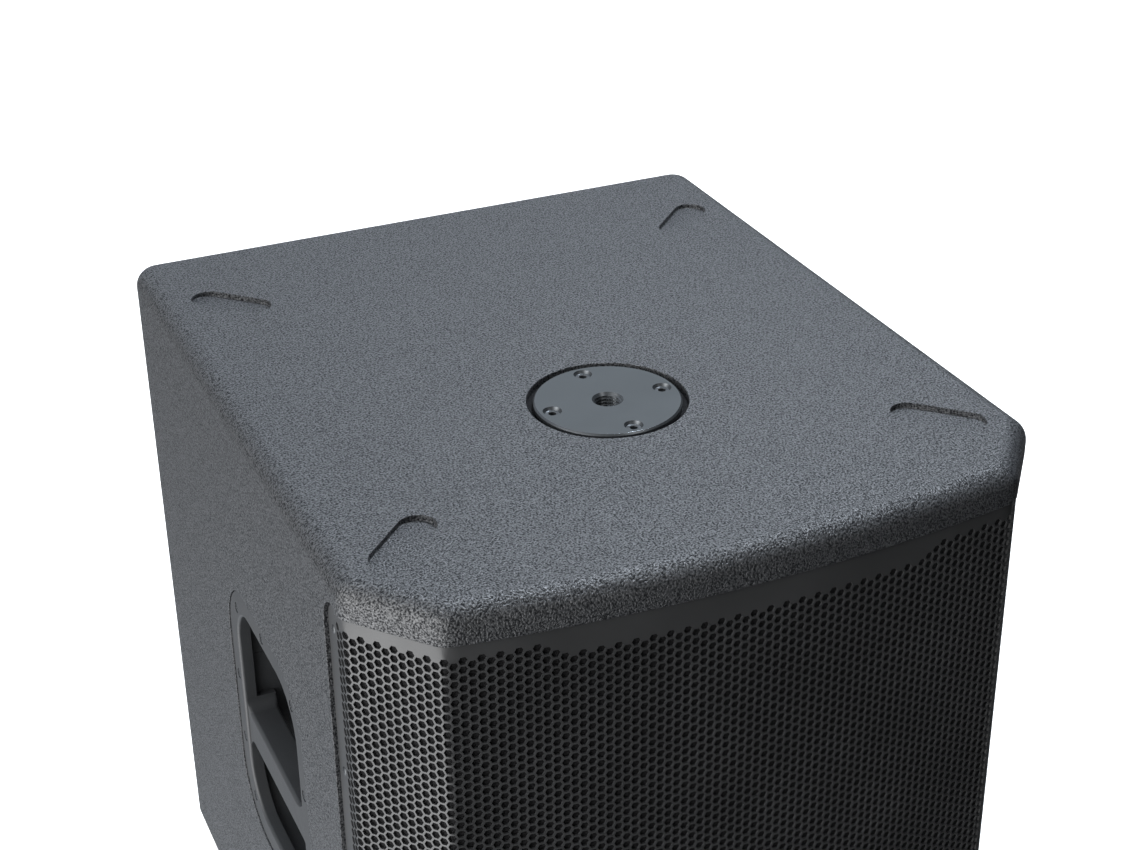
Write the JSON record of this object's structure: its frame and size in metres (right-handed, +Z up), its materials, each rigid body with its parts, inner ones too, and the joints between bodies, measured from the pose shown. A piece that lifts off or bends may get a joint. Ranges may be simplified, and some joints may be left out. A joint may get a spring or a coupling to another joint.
{
  "type": "pa speaker",
  "caption": "Powered PA subwoofer cabinet with wrap-around hexagon-mesh grille, recessed side handles, threaded pole plate and stacking slots on top, amplifier in the back.",
  "frame": {"origin": "on the floor under the middle of the cabinet's box", "axes": "+Z up, -Y the way the grille faces, +X to the right when looking at the grille along +Y"},
  "size_m": [0.5, 0.602, 0.567],
  "materials": {
    "cabinet_paint": "fine orange-peel textured satin charcoal paint on plywood",
    "plywood": "bare birch plywood, black-washed inside",
    "grille_paint": "smooth satin charcoal powder coat on perforated steel",
    "foam": "open-cell dark foam",
    "plate_finish": "smooth satin dark grey coating on steel",
    "zinc_steel": "dull zinc plating",
    "moulding": "fine-grained charcoal moulded plastic",
    "rubber": "matt black rubber",
    "cone_paper": "black pulp paper with faint ribs",
    "surround_rubber": "treated cloth surround",
    "spider_cloth": "stiffened woven cloth",
    "cast_aluminium": "black painted casting",
    "ferrite": "dark sintered ferrite",
    "copper": "copper winding on a glass-fibre former",
    "amp_paint": "black powder coat",
    "aluminium": "black anodised extrusion",
    "circuit_board": "green solder mask",
    "core_wrap": "wrapped tape",
    "can_sleeve": "shrink sleeve",
    "switch_plastic": "glossy black moulding",
    "display": "glossy dark window",
    "knob_rubber": "soft-touch knob",
    "cable": "black PVC sheath"
  },
  "bodies": {
    "cabinet": {"top_panel": "cabinet_paint", "bottom_panel": "cabinet_paint", "left_side_panel": "cabinet_paint", "right_side_panel": "cabinet_paint", "back_panel": "cabinet_paint", "front_baffle": "plywood", "port_shelf": "plywood", "cross_brace": "plywood", "foot_1": "rubber", "foot_2": "rubber", "foot_3": "rubber", "foot_4": "rubber", "grille": "grille_paint", "grille_foam": "foam", "pole_plate": "plate_finish", "pole_plate_screw_1": "zinc_steel", "pole_plate_screw_2": "zinc_steel", "pole_plate_screw_3": "zinc_steel", "pole_plate_screw_4": "zinc_steel", "pole_plate_clamp_ring": "zinc_steel", "handle_left": "moulding", "handle_right": "moulding", "woofer_frame": "cast_aluminium", "woofer_gasket": "foam", "woofer_surround": "surround_rubber", "woofer_spider": "spider_cloth", "woofer_top_plate": "zinc_steel", "woofer_magnet": "ferrite", "woofer_back_plate": "zinc_steel", "woofer_terminals": "moulding", "speaker_lead": "cable", "amplifier_tray": "amp_paint", "amplifier_heatsink": "aluminium", "amplifier_cover": "zinc_steel", "input_socket_1": "switch_plastic", "input_socket_2": "switch_plastic", "output_socket_1": "switch_plastic", "output_socket_2": "switch_plastic", "mains_inlet": "switch_plastic", "display_window": "display", "power_switch_bezel": "switch_plastic", "amplifier_board": "circuit_board", "power_supply_board": "circuit_board", "input_board": "circuit_board", "transformer": "core_wrap", "capacitor_1": "can_sleeve", "capacitor_2": "can_sleeve"},
    "cone_assembly": {"woofer_cone": "cone_paper", "woofer_dust_cap": "cone_paper", "woofer_voice_coil": "copper"},
    "menu_knob": {"menu_knob": "knob_rubber"},
    "level_knob": {"level_knob": "knob_rubber"},
    "menu_button": {"menu_button": "knob_rubber"},
    "back_button": {"back_button": "knob_rubber"},
    "input_latch_1": {"input_latch_1": "zinc_steel"},
    "input_latch_2": {"input_latch_2": "zinc_steel"},
    "power_rocker": {"power_rocker": "switch_plastic"}
  },
  "joints": [
    {"name": "cone_excursion", "type": "slide", "parent": "cabinet", "child": "cone_assembly", "axis": [0, 1, 0], "range_m": [-0.006, 0.006], "stiffness_N_per_m": 6000, "deforming": ["woofer_surround", "woofer_spider"]},
    {"name": "menu_knob_turn", "type": "hinge", "parent": "cabinet", "child": "menu_knob", "pos_m": [0.008, 0.281, 0.414], "axis": [0, 1, 0], "continuous": true},
    {"name": "level_knob_turn", "type": "hinge", "parent": "cabinet", "child": "level_knob", "pos_m": [-0.062, 0.281, 0.414], "axis": [0, 1, 0], "range_deg": [-150, 150]},
    {"name": "menu_button_press", "type": "slide", "parent": "cabinet", "child": "menu_button", "axis": [0, -1, 0], "range_m": [0, 0.0012], "stiffness_N_per_m": 400},
    {"name": "back_button_press", "type": "slide", "parent": "cabinet", "child": "back_button", "axis": [0, -1, 0], "range_m": [0, 0.0012], "stiffness_N_per_m": 400},
    {"name": "input_latch_1_press", "type": "slide", "parent": "cabinet", "child": "input_latch_1", "axis": [0, -1, 0], "range_m": [0, 0.0009], "stiffness_N_per_m": 600},
    {"name": "input_latch_2_press", "type": "slide", "parent": "cabinet", "child": "input_latch_2", "axis": [0, -1, 0], "range_m": [0, 0.0009], "stiffness_N_per_m": 600},
    {"name": "power_rocker_tilt", "type": "hinge", "parent": "cabinet", "child": "power_rocker", "pos_m": [0.014, 0.281, 0.176], "axis": [1, 0, 0], "range_deg": [0, 12]}
  ]
}
